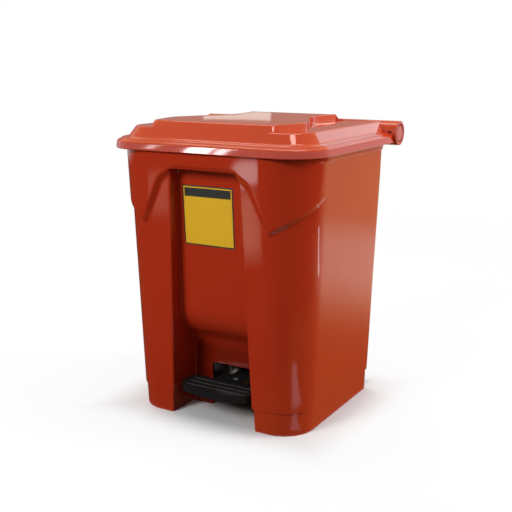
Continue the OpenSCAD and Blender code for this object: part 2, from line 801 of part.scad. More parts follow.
// Lever: a plate under the tread, with two cheeks that run back past the axle to the rod
module pedal_lever() {
  lap_y = tread_rear_y - lever_lap;
  color(steel) difference() {
    union() {
      translate([lever_edge - neck_w / 2, lap_y, plate_z - plate_t])
        cube([neck_w - 2 * lever_edge, neck_l + lever_lap, plate_t]);
      translate([-lever_w / 2, tread_rear_y, plate_z - plate_t])
        cube([lever_w, axle_y - tread_rear_y - plate_gap, plate_t]);
      both_sides() across(lever_w / 2 - plate_t, lever_w / 2) polygon([
        [lap_y, plate_z], [axle_y - bush_over, plate_z], [axle_y + cheek_rear, axle_z + cheek_h],
        [rod_y, rod_low_z + lever_eye_r], [rod_y, rod_low_z - lever_eye_r], [axle_y, axle_z - bush_d],
        [axle_y - cheek_front, axle_z - cheek_rise], [lap_y, plate_z - cheek_h]]);
      both_sides() translate([0, axle_y, axle_z]) bar(lever_w / 2 - plate_t, lever_w / 2, 2 * bush_d);
      both_sides() translate([0, rod_y, rod_low_z]) bar(lever_w / 2 - plate_t, lever_w / 2, 2 * lever_eye_r);
      translate([-lever_w / 2, axle_y + stay_y, axle_z - stay_drop]) cube([lever_w, stay_l, plate_t]);
    }
    translate([0, axle_y, axle_z]) bar(-lever_w, lever_w, bush_d + 2 * fixed_fit);
    for (r = [lever_l - seat, lever_l / cos(lever_tilt) + seat]) translate([0, axle_y, axle_z])
      rotate([-lever_tilt, 0, 0]) translate([0, r, 0]) bar(-lever_w, lever_w, rod_pin_d + 2 * seat);
    for (x = [-1, 1]) translate([x * rivet_x, rivet_y, plate_z - 2 * plate_t])
      cylinder(h = 3 * plate_t, d = rivet_d + 2 * fixed_fit);
  }
}

// Flanged bush: a sleeve in the lever cheek and a collar out to the bracket
module lever_bush() {
  color(nylon) translate([0, axle_y, axle_z]) difference() {
    union() {
      bar(lever_w / 2 - plate_t - bush_over, lever_w / 2, bush_d);
      bar(lever_w / 2, bracket_x - seat, bush_d + 2 * bush_flange);
    }
    bar(0, bracket_x + bit, axle_d + 2 * run_fit);
  }
}

module lever_bush_left() {
  mirror([1, 0, 0]) lever_bush();
}

module lever_bush_right() {
  lever_bush();
}

// Rod with a round eye at each end
eye_wall = 4.5;
eye_d = rod_pin_d + 2 * eye_wall;

module push_rod() {
  color(steel) difference() {
    union() {
      translate([0, rod_y, rod_low_z]) cylinder(h = rod_top_z - rod_low_z, d = rod_d);
      translate([0, rod_y, rod_low_z]) bar(-eye_w / 2, eye_w / 2, eye_d);
      translate([0, rod_y, rod_top_z]) bar(-eye_w / 2, eye_w / 2, eye_d);
    }
    for (z = [rod_low_z, rod_top_z]) translate([0, rod_y, z])
      bar(-eye_w, eye_w, rod_pin_d + 2 * fixed_fit);
  }
}

pin_over = 4;
clip_rim = 3.5;
low_pin_half = lever_w / 2 + pin_over;
top_pin_half = cheek_x + plate_t + pin_over;

module rod_lower_pin() {
  color(steel) translate([0, rod_y, rod_low_z]) bar(-low_pin_half, low_pin_half, rod_pin_d);
}

module rod_top_pin() {
  color(steel) translate([0, rod_y, rod_top_z]) bar(-top_pin_half, top_pin_half, rod_pin_d);
}

// A flat washer clip near each end of a pin
module pin_clips(x) {
  both_sides() difference() {
    bar(x, x + clip_t, rod_pin_d + 2 * clip_rim);
    bar(x - bit, x + clip_t + bit, rod_pin_d + 2 * fixed_fit);
  }
}

module rod_lower_clips() {
  color(steel) translate([0, rod_y, rod_low_z]) pin_clips(lever_w / 2 + seat);
}

module rod_top_clips() {
  color(steel) translate([0, rod_y, rod_top_z]) pin_clips(cheek_x + plate_t + seat);
}

body_shell();
axle_bracket_left();
axle_bracket_right();
axle_bracket_screws();
pedal_axle();
axle_clips();
rod_guide_upper();
rod_guide_lower();
rod_guide_screws();
lid_shell();
hinge_pin_left();
hinge_pin_right();
lid_lifter();
lid_lifter_screws();
pedal_tread();
tread_rivets();
pedal_lever();
lever_bush_left();
lever_bush_right();
push_rod();
rod_lower_pin();
rod_lower_clips();
rod_top_pin();
rod_top_clips();
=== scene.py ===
import json
import math
import bmesh
import bpy
import numpy as np
from mathutils import Matrix, Vector


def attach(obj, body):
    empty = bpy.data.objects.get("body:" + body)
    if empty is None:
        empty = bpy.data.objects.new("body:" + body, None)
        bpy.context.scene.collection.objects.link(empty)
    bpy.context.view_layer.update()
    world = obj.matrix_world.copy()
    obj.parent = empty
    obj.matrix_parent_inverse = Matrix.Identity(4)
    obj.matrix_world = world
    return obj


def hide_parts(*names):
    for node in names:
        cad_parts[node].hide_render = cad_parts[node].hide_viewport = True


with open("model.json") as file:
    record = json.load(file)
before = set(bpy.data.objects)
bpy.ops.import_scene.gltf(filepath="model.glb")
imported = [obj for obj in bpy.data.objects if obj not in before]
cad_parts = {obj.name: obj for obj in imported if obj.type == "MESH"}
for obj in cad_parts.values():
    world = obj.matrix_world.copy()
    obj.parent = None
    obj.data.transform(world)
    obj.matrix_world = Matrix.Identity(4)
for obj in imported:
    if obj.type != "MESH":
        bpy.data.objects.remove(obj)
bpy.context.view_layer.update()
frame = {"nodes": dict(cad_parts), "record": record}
nodes = frame["nodes"]
scene = bpy.context.scene
mm = 0.001


# Small helpers for shapes; sizes are written in millimetres and angles in degrees

def spread(low, high, count):
    return [low + (high - low) * i / count for i in range(count + 1)]


def sinCos(angle):
    return math.sin(math.radians(angle)), math.cos(math.radians(angle))


def tanDeg(angle):
    return math.tan(math.radians(angle))


def softStep(value):
    t = min(max(value, 0.0), 1.0)
    return t * t * (3 - 2 * t)


def softMin(a, b, k):
    h = min(max(0.5 + 0.5 * (b - a) / k, 0.0), 1.0)
    return b * (1 - h) + a * h - k * h * (1 - h)


def softMax(a, b, k):
    return -softMin(-a, -b, k)


def gridFaces(rows, columns, start=0):
    return [(start + i * columns + j, start + i * columns + j + 1,
             start + (i + 1) * columns + j + 1, start + (i + 1) * columns + j)
            for i in range(rows - 1) for j in range(columns - 1)]


def prismFaces(count, start=0):
    # The two ends and the sides of a prism whose second ring follows the first
    faces = [tuple(range(start + count - 1, start - 1, -1)), tuple(range(start + count, start + 2 * count))]
    for i in range(count):
        j = (i + 1) % count
        faces.append((start + i, start + j, start + count + j, start + count + i))
    return faces


def meshPiece(name, points, faces, body, replaced=(), weld=0.02, sliver=0.01):
    mesh = bpy.data.meshes.new(name)
    mesh.from_pydata([(x * mm, y * mm, z * mm) for x, y, z in points], [], faces)
    tidy = bmesh.new()
    tidy.from_mesh(mesh)
    bmesh.ops.remove_doubles(tidy, verts=tidy.verts, dist=weld * mm)
    bmesh.ops.dissolve_degenerate(tidy, edges=tidy.edges, dist=sliver * mm)
    tidy.to_mesh(mesh)
    tidy.free()
    piece = bpy.data.objects.new(name, mesh)
    scene.collection.objects.link(piece)
    for face in mesh.polygons:
        face.use_smooth = True
    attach(piece, body)
    if replaced:
        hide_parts(*replaced)
    return piece


def addModifier(piece, kind, name, **settings):
    modifier = piece.modifiers.new(name, kind)
    for key, value in settings.items():
        setattr(modifier, key, value)
    return modifier


def crispSkin(piece, look, angle=38):
    # Edges sharper than the angle stay crisp
    addModifier(piece, "EDGE_SPLIT", "crispEdges", split_angle=math.radians(angle))
    piece.data.materials.append(look)


def wholeSkin(piece, look, thickness, even, merge=0.05):
    # The other half by mirror, and a wall inwards
    addModifier(piece, "MIRROR", "otherHalf", use_axis=(True, False, False), merge_threshold=merge * mm)
    addModifier(piece, "SOLIDIFY", "wall", thickness=thickness * mm, offset=-1, use_even_offset=even)
    crispSkin(piece, look)


# Small helpers for shader nodes

def feed(tree, value, socket):
    # A socket is linked and a plain value is set
    if hasattr(value, "links"):
        tree.links.new(value, socket)
    else:
        socket.default_value = value


def mathNode(tree, operation, *values):
    node = tree.nodes.new("ShaderNodeMath")
    node.operation = operation
    for value, socket in zip(values, node.inputs):
        feed(tree, value, socket)
    return node.outputs[0]


def productOf(tree, first, *others):
    for other in others:
        first = mathNode(tree, "MULTIPLY", first, other)
    return first


def awayFrom(tree, value, middle=None):
    offset = value if middle is None else mathNode(tree, "SUBTRACT", value, middle)
    return mathNode(tree, "ABSOLUTE", offset)


def rampNode(tree, value, low, high, start=0.0, end=1.0):
    ramp = tree.nodes.new("ShaderNodeMapRange")
    ramp.interpolation_type = "SMOOTHSTEP"
    for key, number in (("From Min", low), ("From Max", high), ("To Min", start), ("To Max", end)):
        ramp.inputs[key].default_value = number
    tree.links.new(value, ramp.inputs["Value"])
    return ramp.outputs["Result"]


def placeIn(tree):
    place = tree.nodes.new("ShaderNodeTexCoord")
    split = tree.nodes.new("ShaderNodeSeparateXYZ")
    tree.links.new(place.outputs["Object"], split.inputs[0])
    return split.outputs


def noiseNode(tree, scale, detail, roughness=0.55):
    place = tree.nodes.new("ShaderNodeTexCoord")
    node = tree.nodes.new("ShaderNodeTexNoise")
    node.inputs["Detail"].default_value = detail
    node.inputs["Roughness"].default_value = roughness
    tree.links.new(place.outputs["Object"], node.inputs["Vector"])
    feed(tree, scale, node.inputs["Scale"])
    return node.outputs["Fac"]


def mixColour(tree, factor, a, b):
    node = tree.nodes.new("ShaderNodeMix")
    node.data_type = "RGBA"
    for value, index in ((factor, 0), (a, 6), (b, 7)):  # the colour sockets are 6 and 7
        feed(tree, value, node.inputs[index])
    return node.outputs[2]


def mixShaders(tree, factor, first, second, output):
    mix = tree.nodes.new("ShaderNodeMixShader")
    for socket, index in ((factor, 0), (first.outputs[0], 1), (second.outputs[0], 2)):
        tree.links.new(socket, mix.inputs[index])
    tree.links.new(mix.outputs[0], tree.nodes.new(output).inputs["Surface"])


def seenRays(tree):
    # Rays that show a surface to the eye: straight, through something clear or mirrored
    path = tree.nodes.new("ShaderNodeLightPath").outputs
    straight = mathNode(tree, "MAXIMUM", path["Is Camera Ray"], path["Is Transmission Ray"])
    return mathNode(tree, "MAXIMUM", straight, path["Is Glossy Ray"])


# Camera, light, floor and background

cameraSet = {"place": (0.82015, -1.4103, 0.65487), "yaw": 30.22, "pitch": 12.97, "lens": 61.47, "sensor": 36}

cameraData = bpy.data.cameras.new("photoCamera")
cameraData.lens = cameraSet["lens"]
cameraData.sensor_width = cameraSet["sensor"]
camera = bpy.data.objects.new("photoCamera", cameraData)
camera.location = cameraSet["place"]
camera.rotation_euler = (math.radians(90 - cameraSet["pitch"]), 0, math.radians(cameraSet["yaw"]))
scene.collection.objects.link(camera)
scene.camera = camera
scene.view_settings.view_transform = "Standard"

lightSet = {
    "leftWindow": {"place": (-0.75, -2.3, 1.6), "aim": (0, -0.1, 0.35), "size": 0.9, "power": 50},
    "sideWindow": {"place": (2.45, 1.1, 1.35), "aim": (0.1, 0, 0.3), "size": 1.5, "power": 80},
    "roofWindow": {"place": (0.1, 0.2, 2.7), "aim": (0, 0, 0.5), "size": 1.6, "power": 33},
    "rearFill": {"place": (-2.2, 2.3, 1.6), "aim": (0, 0, 0.3), "size": 1.8, "power": 34},
    "leftFill": {"place": (-2.4, 0.8, 1.2), "aim": (-0.1, 0, 0.3), "size": 1.5, "power": 32},
}


def addLamp(name, lamp):
    data = bpy.data.lights.new(name, "AREA")
    data.shape = "RECTANGLE"
    data.size = data.size_y = lamp["size"]
    data.energy = lamp["power"]
    lampObject = bpy.data.objects.new(name, data)
    lampObject.location = lamp["place"]
    aim = Vector(lamp["aim"]) - Vector(lamp["place"])
    lampObject.rotation_euler = aim.to_track_quat("-Z", "Y").to_euler()
    lampObject.visible_glossy = False  # reflections see the cards below instead
    scene.collection.objects.link(lampObject)


for lampName, lamp in lightSet.items():
    addLamp(lampName, lamp)

worldSet = {"colour": (0.93, 0.96, 1.0, 1), "ambient": 0.24, "seen": (1, 1, 1, 1)}


def makeWorld():
    world = bpy.data.worlds.new("studioWorld")
    scene.world = world
    world.use_nodes = True
    tree = world.node_tree
    tree.nodes.clear()
    dim = tree.nodes.new("ShaderNodeBackground")
    dim.inputs["Color"].default_value = worldSet["colour"]
    dim.inputs["Strength"].default_value = worldSet["ambient"]
    white = tree.nodes.new("ShaderNodeBackground")
    white.inputs["Color"].default_value = worldSet["seen"]
    mixShaders(tree, seenRays(tree), dim, white, "ShaderNodeOutputWorld")


makeWorld()


def stagePlane(name, w, h, place=(0, 0, 0), turn=(0, 0, 0)):
    corners = [(-w / 2, -h / 2, 0), (w / 2, -h / 2, 0), (w / 2, h / 2, 0), (-w / 2, h / 2, 0)]
    mesh = bpy.data.meshes.new(name)
    mesh.from_pydata(corners, [], [(0, 1, 2, 3)])
    plane = bpy.data.objects.new(name, mesh)
    plane.location = place
    plane.rotation_euler = turn
    scene.collection.objects.link(plane)
    return plane


def stageLook(name, plane):
    look = bpy.data.materials.new(name)
    look.use_nodes = True
    look.node_tree.nodes.clear()
    plane.data.materials.append(look)
    return look.node_tree


floorSet = {
    "size": 60.0, "colour": (0.7, 0.7, 0.7, 1), "bounce": (0.16, 0.13, 0.11, 1), "under": (0.05, 0.045, 0.04, 1),
    "shade": (0.2, 0.175), "shadeEdge": (-0.03, 0.07), "dark": (0.15, 0.115), "darkY": 0.045, "darkEdge": (-0.02, 0.03),
    "far": (0.9, 2.4), "lift": 0.8, "seen": (1, 1, 1, 1),
}


def outsideBox(tree, place, half, middleY=None):
    overX = mathNode(tree, "SUBTRACT", awayFrom(tree, place["X"]), half[0])
    overY = mathNode(tree, "SUBTRACT", awayFrom(tree, place["Y"], middleY), half[1])
    return mathNode(tree, "MAXIMUM", overX, overY)


def makeFloor():
    # White to the eye, but close to and under the bin the floor keeps its own shading; under the bin its colour is also
    # darkened, a painted shadow
    s = floorSet
    tree = stageLook("paleFloor", stagePlane("floor", s["size"], s["size"]))
    place = placeIn(tree)
    near = rampNode(tree, outsideBox(tree, place, s["shade"]), *s["shadeEdge"])
    clear = rampNode(tree, outsideBox(tree, place, s["dark"], s["darkY"]), *s["darkEdge"])
    bounced = tree.nodes.new("ShaderNodeLightPath").outputs["Is Diffuse Ray"]
    tone = mixColour(tree, bounced, mixColour(tree, clear, s["under"], s["colour"]), s["bounce"])
    matte = tree.nodes.new("ShaderNodeBsdfDiffuse")
    tree.links.new(tone, matte.inputs["Color"])
    squares = [mathNode(tree, "MULTIPLY", place[axis], place[axis]) for axis in ("X", "Y")]
    distance = mathNode(tree, "SQRT", mathNode(tree, "ADD", *squares))
    far = rampNode(tree, distance, *s["far"], s["lift"], 1.0)
    glow = tree.nodes.new("ShaderNodeEmission")
    glow.inputs["Color"].default_value = s["seen"]
    mixShaders(tree, productOf(tree, near, far, seenRays(tree)), matte, glow, "ShaderNodeOutputMaterial")


makeFloor()

# Cards that only reflections see: dark flags that keep the colour deep, and bright window panes
wallFace, paneFace, rearFace = (0.4, -0.9, 0), (0.55, 0.8, -0.15), (0, -1, 0)
cardSet = {
    "floorFlag": {"place": (0, 0, 0.003), "size": (7.6, 7.6), "colour": (0.075, 0.045, 0.03), "soft": 0.8},
    "warmFloor": {"place": (0.66, 0.5, 0.004), "size": (0.95, 2.2), "colour": (0.32, 0.17, 0.05), "soft": 0.25,
                  "spin": -22},
    "sidePatch": {"place": (0.6, 1.02, 0.007), "size": (1.8, 1.35), "colour": (1.2, 1.1, 0.86), "soft": 0.58,
                  "spin": -22},
    "farPatch": {"place": (0.98, 1.95, 0.005), "size": (2.6, 3.8), "colour": (0.8, 0.6, 0.3), "soft": 0.75,
                 "spin": -22},
    "ceilingFlag": {"place": (0, 0, 3.2), "size": (12, 12), "colour": (1.0, 0.82, 0.46), "soft": 0.5},
    "rearWall": {"place": (-2.0, 4.3, 1.3), "size": (9.0, 2.6), "colour": (0.4, 0.27, 0.22), "soft": 0.05,
                 "face": wallFace},
    "rearPane": {"place": (-2.43, 3.9, 0.84), "size": (0.5, 0.2), "colour": (0.86, 0.79, 0.7), "soft": 0.015,
                 "face": wallFace},
    "rearRight": {"place": (1.3, 4.1, 2.25), "size": (1.9, 1.3), "colour": (1.7, 2.3, 2.35), "soft": 0.35,
                  "face": rearFace},
    "rearMid": {"place": (-1.15, 4.1, 2.1), "size": (1.5, 1.0), "colour": (0.85, 1.15, 1.12), "soft": 0.3,
                "face": rearFace},
    "rimPaneA": {"place": (-2.245, -3.505, 1.3), "size": (0.17, 0.9), "colour": (27, 26, 26.5), "soft": 0.01,
                 "face": paneFace},
    "rimPaneB": {"place": (-2.115, -3.565, 1.3), "size": (0.075, 0.9), "colour": (23, 22, 22), "soft": 0.01,
                 "face": paneFace},
    "rimPaneC": {"place": (-2.525, -3.375, 1.3), "size": (0.07, 0.7), "colour": (11, 10.5, 10.5), "soft": 0.02,
                 "face": paneFace},
    "cornerPane": {"place": (1.13, 0.6, 0.009), "size": (0.6, 0.13), "colour": (4.5, 4.4, 4.4), "soft": 0.03,
                   "spin": 16},
    "legPane": {"place": (0.338, -0.236, 0.006), "size": (0.24, 0.12), "colour": (1.35, 1.12, 1.18), "soft": 0.04,
                "spin": -40},
    "bandPane": {"place": (0.2, -0.159, 0.006), "size": (0.08, 0.04), "colour": (1.15, 0.98, 1.02), "soft": 0.012,
                 "spin": -28},
    "gleamHigh": {"place": (-1.03, -2.02, 0.006), "size": (0.12, 0.6), "colour": (4.4, 4.2, 4.2), "soft": 0.025,
                  "fade": 0.16, "spin": -31},
    "gleamLow": {"place": (-0.66, -1.4, 0.006), "size": (0.1, 1.15), "colour": (2.1, 1.6, 1.15), "soft": 0.03,
                 "fade": 0.35, "spin": -31},
    "gleamLeft": {"place": (-1.2, -1.65, 0.006), "size": (0.1, 0.9), "colour": (1.2, 0.85, 0.65), "soft": 0.03,
                  "fade": 0.22, "spin": -37},
    "roofGlow": {"place": (-0.4, 0.35, 2.6), "size": (2.6, 0.9), "colour": (6.0, 5.4, 4.8), "soft": 0.2},
    "tubeA": {"place": (0.66, -0.5, 2.5), "size": (0.4, 0.36), "colour": (11, 10, 9), "soft": 0.03},
    "tubeB": {"place": (1.7, 1.25, 2.5), "size": (0.16, 0.5), "colour": (10, 9.5, 9), "soft": 0.03},
    "tubeC": {"place": (1.66, 3.4, 2.5), "size": (0.16, 0.9), "colour": (9, 8.5, 8), "soft": 0.03},
}


def reflectionCard(name, card):
    w, h = card["size"]
    turn = Vector(card.get("face", (0, 0, 1))).to_track_quat("Z", "Y")
    spin = Matrix.Rotation(math.radians(card.get("spin", 0)), 4, "Z").to_quaternion()
    plane = stagePlane(name, w, h, card["place"], (turn @ spin).to_euler())
    plane.visible_camera = plane.visible_diffuse = plane.visible_shadow = False
    plane.visible_transmission = plane.visible_volume_scatter = False
    tree = stageLook(name, plane)
    strength = max(card["colour"])
    glow = tree.nodes.new("ShaderNodeEmission")
    glow.inputs["Color"].default_value = tuple(c / strength for c in card["colour"]) + (1,)
    glow.inputs["Strength"].default_value = strength
    place = placeIn(tree)
    shares = []
    for axis, half, soft in (("X", w / 2, card["soft"]), ("Y", h / 2, card.get("fade", card["soft"]))):
        inside = mathNode(tree, "SUBTRACT", half, awayFrom(tree, place[axis]))
        shares.append(rampNode(tree, inside, 0, soft))
    clear = tree.nodes.new("ShaderNodeBsdfTransparent")
    mixShaders(tree, productOf(tree, *shares), clear, glow, "ShaderNodeOutputMaterial")


for cardName, card in cardSet.items():
    reflectionCard(cardName, card)
print("stage: camera, lamps and floor set")


# Shader groups that several finishes share

def newGroup(name, inputs, outputs):
    group = bpy.data.node_groups.new(name, "ShaderNodeTree")
    for label, kind, value in inputs:
        socket = group.interface.new_socket(label, in_out="INPUT", socket_type=kind)
        socket.default_value = value
    for label, kind in outputs:
        group.interface.new_socket(label, in_out="OUTPUT", socket_type=kind)
    return group, group.nodes.new("NodeGroupInput").outputs, group.nodes.new("NodeGroupOutput").inputs


# Slow drift of tone and gloss in a moulded or painted surface
driftGroup, driftIn, driftOut = newGroup(
    "toneDrift",
    [("Colour", "NodeSocketColor", (0.5, 0.5, 0.5, 1)), ("Deep colour", "NodeSocketColor", (0.4, 0.4, 0.4, 1)),
     ("Scale", "NodeSocketFloat", 6.0), ("Roughness", "NodeSocketFloat", 0.3),
     ("Gloss drift", "NodeSocketFloat", 0.06)],
    [("Colour", "NodeSocketColor"), ("Roughness", "NodeSocketFloat")])
cloud = noiseNode(driftGroup, driftIn["Scale"], 3.0)
driftColour = mixColour(driftGroup, cloud, driftIn["Colour"], driftIn["Deep colour"])
driftGloss = productOf(driftGroup, mathNode(driftGroup, "SUBTRACT", cloud, 0.5), driftIn["Gloss drift"])
driftGroup.links.new(driftColour, driftOut["Colour"])
driftGroup.links.new(mathNode(driftGroup, "ADD", driftGloss, driftIn["Roughness"]), driftOut["Roughness"])

# Fine skin of a moulding: a shallow waviness under a fine grain
skinGroup, skinIn, skinOut = newGroup(
    "mouldSkin",
    [("Wave scale", "NodeSocketFloat", 14.0), ("Wave", "NodeSocketFloat", 1.0),
     ("Grain scale", "NodeSocketFloat", 900.0), ("Grain", "NodeSocketFloat", 0.1)],
    [("Height", "NodeSocketFloat")])
wave = productOf(skinGroup, noiseNode(skinGroup, skinIn["Wave scale"], 1.0), skinIn["Wave"])
grain = productOf(skinGroup, noiseNode(skinGroup, skinIn["Grain scale"], 2.0), skinIn["Grain"])
skinGroup.links.new(mathNode(skinGroup, "ADD", wave, grain), skinOut["Height"])

# Small rubbed specks, stronger near the ground
rubSet = {"scale": 120.0, "detail": 6.0, "rough": 0.7, "limit": 0.58}
rubGroup, rubIn, rubOut = newGroup(
    "groundRub",
    [("Height of rub", "NodeSocketFloat", 0.08), ("Amount", "NodeSocketFloat", 0.5)],
    [("Mask", "NodeSocketFloat")])
rubHigh = mathNode(rubGroup, "DIVIDE", placeIn(rubGroup)["Z"], rubIn["Height of rub"])
rubLow = mathNode(rubGroup, "MAXIMUM", mathNode(rubGroup, "SUBTRACT", 1.0, rubHigh), 0.0)
rubNoise = noiseNode(rubGroup, rubSet["scale"], rubSet["detail"], rubSet["rough"])
specks = mathNode(rubGroup, "GREATER_THAN", rubNoise, rubSet["limit"])
rubGroup.links.new(productOf(rubGroup, rubLow, specks, rubIn["Amount"]), rubOut["Mask"])

# Darker tint deep in the foot recess: the photo has it in shadow, which these lamps do not give
recessShadeSet = {"halfX": 80.0, "top": (112.0, 136.0), "front": (-132.0, -108.0), "shadeColour": (0.155, 0.0085, 0.0018, 1)}
recessShadeGroup, recessShadeIn, recessShadeOut = newGroup(
    "paintedRecessShade", [("Amount", "NodeSocketFloat", 1.0)], [("Mask", "NodeSocketFloat")])
recessShadePlace = placeIn(recessShadeGroup)
recessShadeMask = productOf(
    recessShadeGroup,
    mathNode(recessShadeGroup, "LESS_THAN", awayFrom(recessShadeGroup, recessShadePlace["X"]), recessShadeSet["halfX"] * mm),
    mathNode(recessShadeGroup, "LESS_THAN", recessShadePlace["Y"], 0.0),
    rampNode(recessShadeGroup, recessShadePlace["Z"], *[z * mm for z in recessShadeSet["top"]], 1.0, 0.0),
    rampNode(recessShadeGroup, recessShadePlace["Y"], *[y * mm for y in recessShadeSet["front"]]),
    recessShadeIn["Amount"])
recessShadeGroup.links.new(recessShadeMask, recessShadeOut["Mask"])


def placeGroup(tree, group, **values):
    node = tree.nodes.new("ShaderNodeGroup")
    node.node_tree = group
    for key, value in values.items():
        feed(tree, value, node.inputs[key.replace("_", " ")])
    return node.outputs


def overColour(look, mask, colour):
    # Another colour over what the look has so far
    tree = look.node_tree
    base = tree.nodes["Principled BSDF"].inputs["Base Color"]
    tree.links.new(mixColour(tree, mask, base.links[0].from_socket, colour), base)


def surfaceLook(name, finish):
    look = bpy.data.materials.new(name)
    look.use_nodes = True
    tree = look.node_tree
    shader = tree.nodes["Principled BSDF"].inputs
    drift = placeGroup(tree, driftGroup, Colour=finish["colour"], Deep_colour=finish["deep"], Scale=finish["drift"],
                       Roughness=finish["roughness"], Gloss_drift=finish["glossDrift"])
    skin = placeGroup(tree, skinGroup, Wave_scale=finish["waveScale"], Wave=finish.get("wave", 1.0),
                      Grain_scale=finish["grainScale"], Grain=finish["grain"])
    tree.links.new(drift["Colour"], shader["Base Color"])
    tree.links.new(drift["Roughness"], shader["Roughness"])
    for key, socket in (("ior", "IOR"), ("specular", "Specular IOR Level"), ("metallic", "Metallic")):
        if key in finish:
            shader[socket].default_value = finish[key]
    bump = tree.nodes.new("ShaderNodeBump")
    bump.inputs["Strength"].default_value = finish["bump"]
    bump.inputs["Distance"].default_value = finish["bumpDepth"]
    tree.links.new(skin["Height"], bump.inputs["Height"])
    tree.links.new(bump.outputs["Normal"], shader["Normal"])
    if "rub" in finish:
        rub = placeGroup(tree, rubGroup, Height_of_rub=finish["rubHeight"], Amount=finish["rub"])
        overColour(look, rub["Mask"], finish["rubColour"])
    # Painted shade: a darker colour deep in the foot recess, where shadow falls
    if "paintedShade" in finish:
        paintedShade = placeGroup(tree, recessShadeGroup, Amount=finish["paintedShade"])
        overColour(look, paintedShade["Mask"], recessShadeSet["shadeColour"])
    return look


redFinish = {"colour": (0.43, 0.031, 0.0088, 1), "deep": (0.39, 0.026, 0.0072, 1), "drift": 5.0, "roughness": 0.045,
             "glossDrift": 0.04, "waveScale": 11.0, "grainScale": 700.0, "grain": 0.01, "bump": 0.5,
             "bumpDepth": 0.0009, "ior": 1.5, "specular": 0.5}
lidTones = {"colour": (0.45, 0.034, 0.0092, 1), "deep": (0.41, 0.029, 0.008, 1), "bump": 0.15}
# Rubbed specks near the ground are wear; the darker colour deep in the foot recess is painted shade
shellWearAndShade = {"rub": 0.25, "rubHeight": 0.07, "rubColour": (0.45, 0.1, 0.05, 1), "paintedShade": 0.95}
treadFinish = {"colour": (0.008, 0.008, 0.009, 1), "deep": (0.013, 0.013, 0.014, 1), "drift": 20.0, "roughness": 0.3,
               "glossDrift": 0.2, "waveScale": 60.0, "grainScale": 1500.0, "grain": 0.15, "bump": 0.2,
               "bumpDepth": 0.0003, "ior": 1.5, "specular": 0.25}
steelFinish = {"colour": (0.66, 0.67, 0.69, 1), "deep": (0.5, 0.51, 0.54, 1), "drift": 45.0, "roughness": 0.32,
               "glossDrift": 0.2, "waveScale": 80.0, "wave": 0.4, "grainScale": 2400.0, "grain": 0.6, "bump": 0.2,
               "bumpDepth": 0.0002, "metallic": 1.0}
rivetTones = {"colour": (0.24, 0.24, 0.245, 1), "deep": (0.2, 0.2, 0.205, 1), "roughness": 0.35, "glossDrift": 0.1,
              "metallic": 0.4}

shellRed = surfaceLook("shellRed", dict(redFinish, **shellWearAndShade))
lidRed = surfaceLook("lidRed", dict(redFinish, **lidTones))
treadBlack = surfaceLook("treadBlack", dict(treadFinish, specular=0.14))
blackPlastic = surfaceLook("blackPlastic", dict(treadFinish, colour=(0.03, 0.03, 0.032, 1)))
leverBlack = surfaceLook("leverBlack", dict(treadFinish, colour=(0.015, 0.015, 0.016, 1)))
nylonLook = surfaceLook("nylon", dict(treadFinish, colour=(0.7, 0.68, 0.6, 1), deep=(0.62, 0.6, 0.52, 1)))
zincSteel = surfaceLook("zincSteel", steelFinish)
rivetSteel = surfaceLook("rivetSteel", dict(steelFinish, **rivetTones))

# Where the painted highlights lie on the ribs of the tread, and their colour
ribHighlightSet = {"lowZ": 59.9, "halfX": 64.0, "y": (-156.0, -115.0), "startY": -154.3, "pitch": 15.6, "wide": 1.7,
           "colour": (0.058, 0.054, 0.053, 1)}
paintSet = {"leftOf": 4.0, "colour": (0.02, 0.02, 0.021, 1)}


def paintRibHighlights(look):
    # A pale strip along the front edge of every other rib of the tread: a painted highlight for the lit rib edges
    tree, place = look.node_tree, placeIn(look.node_tree)
    low, high = ribHighlightSet["y"]
    along = mathNode(tree, "SUBTRACT", place["Y"], ribHighlightSet["startY"] * mm)
    along = mathNode(tree, "FLOORED_MODULO", along, ribHighlightSet["pitch"] * mm)
    mask = productOf(
        tree,
        mathNode(tree, "GREATER_THAN", place["Z"], ribHighlightSet["lowZ"] * mm),
        mathNode(tree, "LESS_THAN", awayFrom(tree, place["X"]), ribHighlightSet["halfX"] * mm),
        mathNode(tree, "LESS_THAN", awayFrom(tree, place["Y"], (low + high) / 2 * mm), (high - low) / 2 * mm),
        mathNode(tree, "LESS_THAN", along, ribHighlightSet["wide"] * mm))
    overColour(look, mask, ribHighlightSet["colour"])


def paintRivet(look):
    # The photo shows one bright head, so the left rivet is given black paint
    tree = look.node_tree
    painted = mathNode(tree, "LESS_THAN", placeIn(tree)["X"], paintSet["leftOf"] * mm)
    overColour(look, painted, paintSet["colour"])


paintRibHighlights(treadBlack)
paintRivet(rivetSteel)
print("stage: finishes made")


# Body: one skin that runs from the recess panel round the legs, sides and rear to the groove

bodySet = {
    "baseHalf": 177.5, "frontY": -161.7, "rearY": 148.5, "height": 504.0, "sideDraft": 2.3, "frontDraft": 2.4,
    "frontR": 61.0, "cornerTaper": 0.047, "rearR": 24.0, "wall": 4.0,
    "bandTop": 42.4, "bandInset": 2.5, "lipLow": 482.0, "lipOut": 2.6, "lipSoft": 0.4, "stepRun": 1.8,
    "recessHalf": 85.5, "recessDraft": 2.2, "archZ": 463.0, "blendZ": 480.0, "panelTopY": -158.1, "panelLean": 3.6,
    "kneeZ": 205.0, "scoopR": 76.0, "scoopEnd": 222.0, "footY": -90.2, "footSlope": 1.1, "footDrop": 6.0,
    "footBend": (-1.0, 16.0), "slotHalf": 44.0, "slotTop": 86.0, "floorLow": 92.0, "floorTop": 96.0,
    "grooveHalf": 32.0, "grooveY": 120.5, "edgeRound": 3.6, "cornerRound": 2.6, "taperRun": 14.0,
}
hoodSet = {
    "out": 7.8, "lowZ": 300.0, "fade": 0.005, "edgeDepth": 6.4, "innerRun": 1.2, "outerRun": 1.25, "archBand": 5.0,
    "archEnd": (66.0, 463.0), "shoulder": (91.0, 447.0), "point": (131.5, 363.0), "climb": 0.82, "bend": 5.0,
    "soft": 0.9, "footSoft": 0.63,
}
